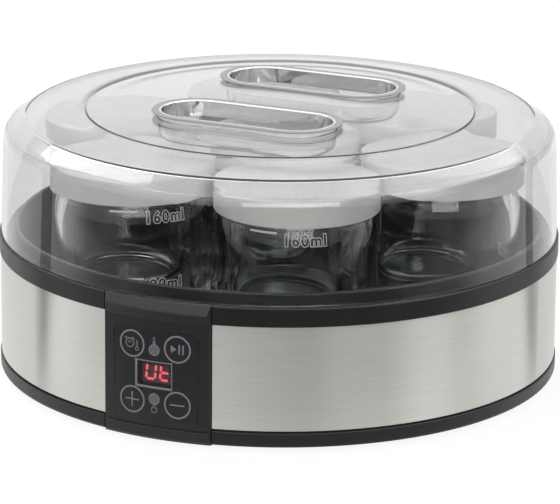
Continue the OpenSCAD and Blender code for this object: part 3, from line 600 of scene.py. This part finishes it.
def buildLid():
    outer, inner = lidFace(0), lidFace(lid["wall"])
    foot = rounded([tuple(outer[-2]) + (0,), tuple(outer[-1]) + (0.35,),
                    tuple(inner[-1]) + (0.35,), tuple(inner[-2]) + (0,)], 3)
    around = np.concatenate([outer[:-1], foot[1:-1], inner[-2::-1]])
    shell = solidPiece("lidShell", [lathe(around, steps=240) * mm])
    top, seat = lidHigh[2], lidHigh[2] - lid["seatDepth"]
    opening, floor, wall = lid["opening"], lid["pocketFloor"], lid["wall"]
    inset, fillet = lid["cavityFoot"]
    cavity = rounded([(0, floor, 0), (opening - inset, floor, fillet),
                      (opening - lid["ledge"], seat, 0), (opening, seat, 0),
                      (opening, top + 1, 0), (0, top + 1, 0)], 7)
    inset, fillet = lid["cupFoot"]
    cup = rounded([(0, floor - wall, 0), (opening - inset, floor - wall, fillet),
                   (opening + lid["cupSpread"], top, 0), (0, top, 0)], 8)
    tools = []
    for kind, profile in (("UNION", cup), ("DIFFERENCE", cavity)):
        for y in (-lid["pocketY"], lid["pocketY"]):
            track = racetrack(profile, lid["pocketHalf"], y, 28) * mm
            tools.append((kind, solidPiece("pocket", [track])))
    mesh = carve(shell, tools)
    finishMesh(mesh, 30)
    piece = newPiece("clearLid", mesh, lidClear, "lid")
    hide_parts("lid_shell")


trim = {"width": 3.5, "flange": 0.5, "skirt": 1.0, "backing": 0.5, "lip": 0.4,
        "gap": 0.02, "seamGap": 0.01, "overlap": 0.1}


def buildTrims():
    # each trim in three layers: chrome liner, pale sleeve with a painted glow round it and grey rim
    # on top
    for name, side in (("front", -1), ("rear", 1)):
        node = "grip_trim_" + name
        low, high = (np.array(corner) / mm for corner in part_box(node))
        reach, bottom, top = (high[1] - low[1]) / 2, low[2], high[2]
        seat, inner = top - trim["flange"], reach - trim["width"]
        face, back, lip = inner - trim["skirt"], inner - trim["backing"], inner + trim["lip"]
        edge, sleeve, outside = top + trim["gap"], back + trim["seamGap"], lip + trim["gap"]
        under = seat + trim["overlap"]
        liner = rounded([(face, bottom, 0), (back, bottom, 0.1), (back, under, 0),
                         (lip, under, 0.1), (lip, edge, 0.2), (face, edge, 0.7),
                         (face, bottom, 0)], 6, 0.15)
        backing = rounded([(sleeve, bottom, 0), (inner, bottom, 0.2), (inner, seat, 0),
                           (sleeve, seat, 0), (sleeve, bottom, 0)], 4, 0.15)
        rim = rounded([(outside, seat, 0), (reach, seat, 0.1), (reach, top, 0.25),
                       (outside, top, 0), (outside, seat, 0)], 4, 0.1)
        for label, profile, finish in (("gripLiner_", liner, polishedChrome),
                                       ("gripBacking_", backing, backingPaintedGlow),
                                       ("gripRim_", rim, rimGrey)):
            track = racetrack(loop(profile), lid["pocketHalf"], side * lid["pocketY"], 36)
            piece = newPiece(label + name, gridMesh(label + name, [track * mm], True),
                             finish, "lid")
        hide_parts(node)


buildLid()
buildTrims()
print("lid built")


jar = {
    "neck": 32.2, "bead": 0.7, "mouth": 29.4, "bore": 30.7, "floor": 4.5,
    "markHeights": {"160ml": 89.6, "80ml": 60.1},
    "markSize": 5.3, "markRelief": 0.3, "markLine": 0.32, "markSwell": 0.34, "dashRise": 2.4,
    "dashLength": 13.0, "dashWidth": 0.8, "markGap": 2.6,
}
markTurns = [17, 119, 119, 119, 119, 38.5, 119]   # where each jar's marks face, in degrees
cap = {"thickness": 2.3, "plateau": 2.5, "plateauDrop": 0.15, "edgeDrop": 0.3}


def jarProfile(low, high, radius):
    # corners are (radius, height, rounding): up the outside, over the lip and down the bore
    bottom, top = low[2], high[2]
    neck, mouth, bore, floor = jar["neck"], jar["mouth"], jar["bore"], bottom + jar["floor"]
    return rounded([
        (0, bottom + 0.5, 0), (20, bottom + 0.5, 4), (27, bottom, 3), (radius, bottom, 5),
        (radius, top - 16.5, 7), (neck - 0.3, top - 9.2, 0.8), (neck, top - 6.4, 0.6),
        (neck + jar["bead"], top - 5.6, 0.4), (neck + jar["bead"], top - 4.4, 0.4),
        (neck, top - 3.6, 0.6), (neck, top, 0.9), (mouth, top, 0.9), (mouth - 0.2, top - 10, 3),
        (bore, top - 18, 6), (bore, floor, 6), (0, floor, 0)], 8)


def bentText(words, size):
    # outlined lettering as a flat mesh: x along the words, y up and z out, in mm
    curve = bpy.data.curves.new("mark", "FONT")
    curve.body, curve.size, curve.fill_mode = words, size * 1.25, "NONE"
    curve.bevel_depth, curve.resolution_u, curve.bevel_resolution = jar["markLine"] / 2, 3, 1
    curve.offset, curve.space_character = jar["markSwell"], 1.2
    text = bpy.data.objects.new("mark", curve)
    bpy.context.scene.collection.objects.link(text)
    mesh = bpy.data.meshes.new_from_object(
        text.evaluated_get(bpy.context.evaluated_depsgraph_get()))
    bpy.data.objects.remove(text)
    return mesh


def buildMarks(number, centre, radius, outline):
    # each mark is a dash and its volume, wrapped on the jar: x becomes an angle of x / radius,
    # and outline gives the jar's own radius at each height
    meshes = []
    for words, height in jar["markHeights"].items():
        mesh = bentText(words, jar["markSize"])
        flat = np.empty(len(mesh.vertices) * 3)
        mesh.vertices.foreach_get("co", flat)
        flat = flat.reshape(-1, 3)
        wide = flat[:, 0].max()
        left = -(wide + jar["markGap"] + jar["dashLength"]) / 2
        flat[:, 0] += left + jar["dashLength"] + jar["markGap"]
        flat[:, 1] += height - jar["markSize"] / 2
        meshes.append((mesh, flat))
        along = np.linspace(left, left + jar["dashLength"], 9)
        ring = np.array([[-1, -1], [1, -1], [1, 1], [-1, 1], [-1, -1]]) / 2
        dash = np.stack([
            np.repeat(along[:, None], 5, 1),
            height + jar["dashRise"] + ring[None, :, 0] * jar["dashWidth"] + 0 * along[:, None],
            ring[None, :, 1] * jar["markRelief"] + 0 * along[:, None]], -1)
        bar = gridMesh("dash", [dash])
        flat = np.empty(len(bar.vertices) * 3)
        bar.vertices.foreach_get("co", flat)
        meshes.append((bar, flat.reshape(-1, 3)))
    facing = math.radians(markTurns[number - 1])
    work = bmesh.new()
    for mesh, flat in meshes:
        angle = facing + flat[:, 0] / radius
        out = np.interp(flat[:, 1], outline[:, 1], outline[:, 0]) + flat[:, 2]
        bent = np.stack([centre[0] + np.sin(angle) * out, centre[1] - np.cos(angle) * out,
                         flat[:, 1]], -1) * mm
        mesh.vertices.foreach_set("co", bent.ravel())
        work.from_mesh(mesh)
    joined = bpy.data.meshes.new("jarMarks")
    work.to_mesh(joined)
    work.free()
    finishMesh(joined, 30, False)
    newPiece(f"jarMarks_{number}", joined, markFrost, f"jar_{number}")


def buildJars():
    # jar 7 and its cap stand on the axis, so their boxes give the radius of them all
    for number in range(1, 8):
        low, high = (np.array(corner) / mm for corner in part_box(f"jar_{number}"))
        centre = (low[:2] + high[:2]) / 2
        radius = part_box("jar_7")[1][0] / mm
        profile = jarProfile(low, high, radius)
        wall = profile[profile[:, 1].argmin():profile[:, 1].argmax() + 1]
        outline = wall[wall[:, 0] > jar["neck"] - 0.5]
        grid = lathe(profile, centre, 96) * mm
        piece = newPiece(f"glassJar_{number}", gridMesh("glassJar", [grid], True),
                         jarGlass, f"jar_{number}")
        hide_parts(f"jar_{number}")
        buildMarks(number, centre, radius, outline)
        low, high = (np.array(corner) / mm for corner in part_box(f"cap_{number}"))
        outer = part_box("cap_7")[1][0] / mm
        top, under, inside = high[2], high[2] - cap["thickness"], outer - cap["thickness"]
        profile = rounded([
            (0, top, 0), (outer - cap["plateau"], top, 0.8), (inside, top - cap["plateauDrop"], 0),
            (outer, top - cap["edgeDrop"], 1.6), (outer, low[2], 0.4), (inside, low[2], 0.3),
            (inside, under, 0.4), (0, under, 0)], 6)
        grid = lathe(profile, centre, 128) * mm
        piece = newPiece(f"jarCap_{number}", gridMesh("jarCap", [grid], True),
                         capWhite, f"cap_{number}")
        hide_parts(f"cap_{number}")


buildJars()
print("jars and caps built")


panel = {
    "face": 125.9, "lift": 0.03, "thickness": 0.04,
    "keyX": 10.6, "keyLow": 18.6, "keyHigh": 43.3, "keyRing": 5.7, "ringWidth": 0.8,
    "windowHalf": 8.1, "windowZ": 30.9, "windowHeight": 11.4,
    "dots": (20.1, 41.8), "dotRing": 2.35, "dotLine": 0.45, "seamLine": 0.5,
    "overlay": (19.7, 9.3, 51.3, 3.0),      # half width, lower and upper edge, corner
}


def ringStrip(x, z, radius, width, low=0, high=360, steps=48):
    angle = np.radians(np.linspace(low, high, steps + 1))[:, None]
    out = np.array([radius - width / 2, radius + width / 2])[None]
    return np.stack([x + np.sin(angle) * out, z + np.cos(angle) * out], -1)


def barStrip(start, end, width, endWidth=None, steps=4):
    start, end = np.array(start, float), np.array(end, float)
    along = np.linspace(0, 1, steps + 1)[:, None]
    middle = start + (end - start) * along
    across = np.array([-(end - start)[1], (end - start)[0]]) / np.linalg.norm(end - start)
    half = (width + ((width if endWidth is None else endWidth) - width) * along) / 2
    return np.stack([middle + across * half, middle - across * half], 1)


def printed(name, strips, finish, body):
    # flat strips laid on the curved face: y = -sqrt(r^2 - x^2)
    radius = panel["face"] + panel["lift"]
    grids = []
    for strip in strips:
        x, z = strip[..., 0], strip[..., 1]
        grids.append(np.stack([x, -np.sqrt(radius ** 2 - x ** 2), z], -1) * mm)
    mesh = gridMesh(name, grids, solid=False)
    piece = newPiece(name, mesh, finish, body)
    layer = piece.modifiers.new("thickness", "SOLIDIFY")
    layer.thickness = panel["thickness"] * mm
    layer.offset = 0
    return piece


def timerIcon(x, z):
    clock = (x - 1.1, z + 0.2)
    bulb = (x + 2.4, z - 2.1)
    return [ringStrip(*clock, 1.9, 0.42),
            barStrip(clock, (clock[0] - 0.7, clock[1] + 0.8), 0.38),
            barStrip(clock, (clock[0] + 0.8, clock[1] + 0.6), 0.38),
            barStrip((clock[0] - 2.3, clock[1] + 1.7), (clock[0] - 1.3, clock[1] + 2.5), 0.5),
            barStrip((clock[0] + 1.3, clock[1] + 2.5), (clock[0] + 2.3, clock[1] + 1.7), 0.5),
            ringStrip(*bulb, 0.75, 0.35, steps=24),
            barStrip((bulb[0] - 0.35, bulb[1] + 0.7), (bulb[0] - 0.35, bulb[1] + 3.2), 0.28),
            barStrip((bulb[0] + 0.35, bulb[1] + 0.7), (bulb[0] + 0.35, bulb[1] + 3.2), 0.28),
            ringStrip(bulb[0], bulb[1] + 3.2, 0.35, 0.28, -90, 90, 12)]


def startIcon(x, z):
    return [barStrip((x - 2.9, z), (x - 0.3, z), 3.5, 0.05, 2),
            barStrip((x + 0.9, z - 2.1), (x + 0.9, z + 2.1), 0.75),
            barStrip((x + 2.6, z - 2.1), (x + 2.6, z + 2.1), 0.75)]


def plusIcon(x, z):
    return [barStrip((x - 3.3, z), (x + 3.3, z), 0.62), barStrip((x, z + 0.31), (x, z + 3.3), 0.62),
            barStrip((x, z - 3.3), (x, z - 0.31), 0.62)]


def minusIcon(x, z):
    return [barStrip((x - 3.3, z), (x + 3.3, z), 0.62)]


def buildPrint():
    left, right = -panel["keyX"], panel["keyX"]
    low, high = panel["keyLow"], panel["keyHigh"]
    keys = {"timer": (left, high, timerIcon), "start": (right, high, startIcon),
            "plus": (left, low, plusIcon), "minus": (right, low, minusIcon)}
    for name, (x, z, icon) in keys.items():
        strips = [ringStrip(x, z, panel["keyRing"], panel["ringWidth"])] + icon(x, z)
        printed("print_" + name, strips, printGrey, "button_" + name)
    half, tall, middle = panel["windowHalf"], panel["windowHeight"] / 2, panel["windowZ"]
    wide, thin = 1.1, 0.5
    frameStrips = [
        barStrip((-half - thin, middle - tall - thin), (-half - thin, middle + tall + thin), wide),
        barStrip((half, middle - tall), (half, middle + tall + thin), thin),
        barStrip((-half, middle + tall), (half, middle + tall), thin, steps=12),
        barStrip((-half, middle - tall), (half + thin / 2, middle - tall), wide, steps=12)]
    printed("print_window", frameStrips, printGrey, "base")
    signs = [barStrip((-0.3, 45.0), (-0.3, 47.6), 0.3), barStrip((0.3, 45.0), (0.3, 47.6), 0.3),
             ringStrip(0, 45.0, 0.55, 0.5, steps=20),
             barStrip((-1.3, 14.2), (1.3, 14.2), 0.3), barStrip((-1.3, 16.2), (1.3, 16.2), 0.3),
             barStrip((-1.2, 14.2), (-1.2, 16.2), 0.3), barStrip((1.2, 14.2), (1.2, 16.2), 0.3),
             ringStrip(0, 16.4, 0.8, 0.3, -90, 90, 16)]
    for z in panel["dots"]:
        signs.append(ringStrip(0, z, panel["dotRing"], panel["dotLine"], steps=36))
    printed("print_signs", signs, printGrey, "base")
    half, low, high, corner = panel["overlay"]
    line = panel["seamLine"]
    seam = [barStrip((-half + corner, z), (half - corner, z), line, steps=24) for z in (low, high)]
    seam += [barStrip((x, low + corner), (x, high - corner), line) for x in (-half, half)]
    corners = ((half - corner, high - corner, 0), (half - corner, low + corner, 90),
               (-half + corner, low + corner, 180), (-half + corner, high - corner, 270))
    seam += [ringStrip(x, z, corner, line, start, start + 90, 12) for x, z, start in corners]
    printed("overlaySeam", seam, seamBlack, "base")


display = {
    "height": 6.6, "width": 4.1, "line": 1.05, "pitch": 6.5, "slant": 0.1, "lift": 0.06,
    "gap": 0.12, "cut": 0.7,        # gap between bars, and the share of a half bar cut off
    "lit": ("bcdef", "defg"),
}


def buildDigits():
    # seven bars to a digit on the module's flat front, leaning right by slant per mm of height
    low, high = (np.array(corner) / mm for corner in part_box("display_module"))
    front, middle = low[1] - display["lift"], (low[2] + high[2]) / 2
    tall, wide, line = display["height"], display["width"], display["line"]
    top, bottom, left, right = tall / 2, -tall / 2, -wide / 2, wide / 2
    bars = {"a": ((left, top), (right, top)), "g": ((left, 0), (right, 0)),
            "d": ((left, bottom), (right, bottom)), "f": ((left, 0), (left, top)),
            "b": ((right, 0), (right, top)), "e": ((left, bottom), (left, 0)),
            "c": ((right, bottom), (right, 0))}
    groups = {"lit": [], "dim": []}
    for place, lit in zip((-0.5, 0.5), display["lit"]):
        for letter, (start, end) in bars.items():
            start, end = np.array(start), np.array(end)
            along = (end - start) / np.linalg.norm(end - start)
            short = along * (line / 2 + display["gap"]) * display["cut"]
            strip = barStrip(start + short, end - short, line, steps=2)
            x = strip[..., 0] + strip[..., 1] * display["slant"] + place * display["pitch"]
            grid = np.stack([x, np.full_like(x, front), middle + strip[..., 1]], -1) * mm
            groups["lit" if letter in lit else "dim"].append(grid)
    for name, finish in (("lit", ledLit), ("dim", ledDim)):
        piece = newPiece("segments_" + name, gridMesh("segments", groups[name], solid=False),
                         finish, "base")
        layer = piece.modifiers.new("thickness", "SOLIDIFY")
        layer.thickness = panel["thickness"] * mm
        layer.offset = 0


buildPrint()
buildDigits()
print("panel printed")


carried = {
    "bottom_housing": blackPlastic, "feet": footRubber, "housing_screws": zincSteel,
    "steel_band": brushedSteel, "upper_ring": blackPlastic, "cord_gland": blackPlastic,
    "jar_tub": tubBlack, "heat_plate": plateAluminium, "heating_element": siliconeRed,
    "element_clips": plateAluminium, "temperature_sensor": plateAluminium,
    "thermal_fuse": zincSteel, "heater_leads": sleeveCloth, "sensor_lead": partDark,
    "power_board": circuitBoard, "board_screws": zincSteel, "transformer": partDark,
    "relay": partBlue, "capacitor": partDark, "terminal_block": partBlue,
    "ribbon_cable": partPale, "panel_frame": panelBlack, "panel_screws": zincSteel,
    "panel_overlay": overlayBlack, "display_window": smokedWindow, "display_module": moduleGrey,
    "control_board": circuitBoard, "control_board_screws": zincSteel,
    "tact_switches": partDark, "indicator_leds": partPale,
    "indicator_lens_upper": lensGrey, "indicator_lens_lower": lensGrey,
    "button_timer": overlayBlack, "button_start": overlayBlack,
    "button_plus": overlayBlack, "button_minus": overlayBlack,
}
for node, finish in carried.items():
    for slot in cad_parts[node].material_slots:
        slot.material = finish
print("nodes finished")
